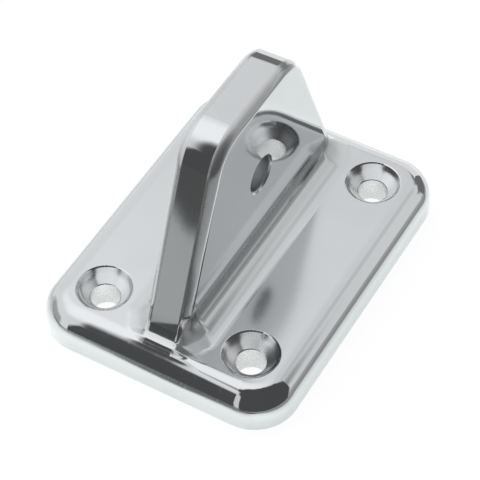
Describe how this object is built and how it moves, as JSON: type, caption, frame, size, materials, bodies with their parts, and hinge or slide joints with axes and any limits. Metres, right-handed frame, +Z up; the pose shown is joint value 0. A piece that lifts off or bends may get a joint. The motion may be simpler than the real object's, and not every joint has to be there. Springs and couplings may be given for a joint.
{
  "type": "deck hinge base",
  "caption": "Fixed half of a deck hinge: a thick rounded base plate with countersunk corner holes and a tall central lug with a cross hole for the hinge pin.",
  "frame": {"origin": "centre of the base plate's underside, on the deck", "axes": "+Z up off the deck, +Y along the plate and the lug, +X along the pin"},
  "size_m": [0.0604, 0.08, 0.053],
  "materials": {
    "polished_stainless": "mirror-polished cast stainless steel"
  },
  "bodies": {
    "root": {"hinge_base": "polished_stainless"}
  },
  "joints": []
}
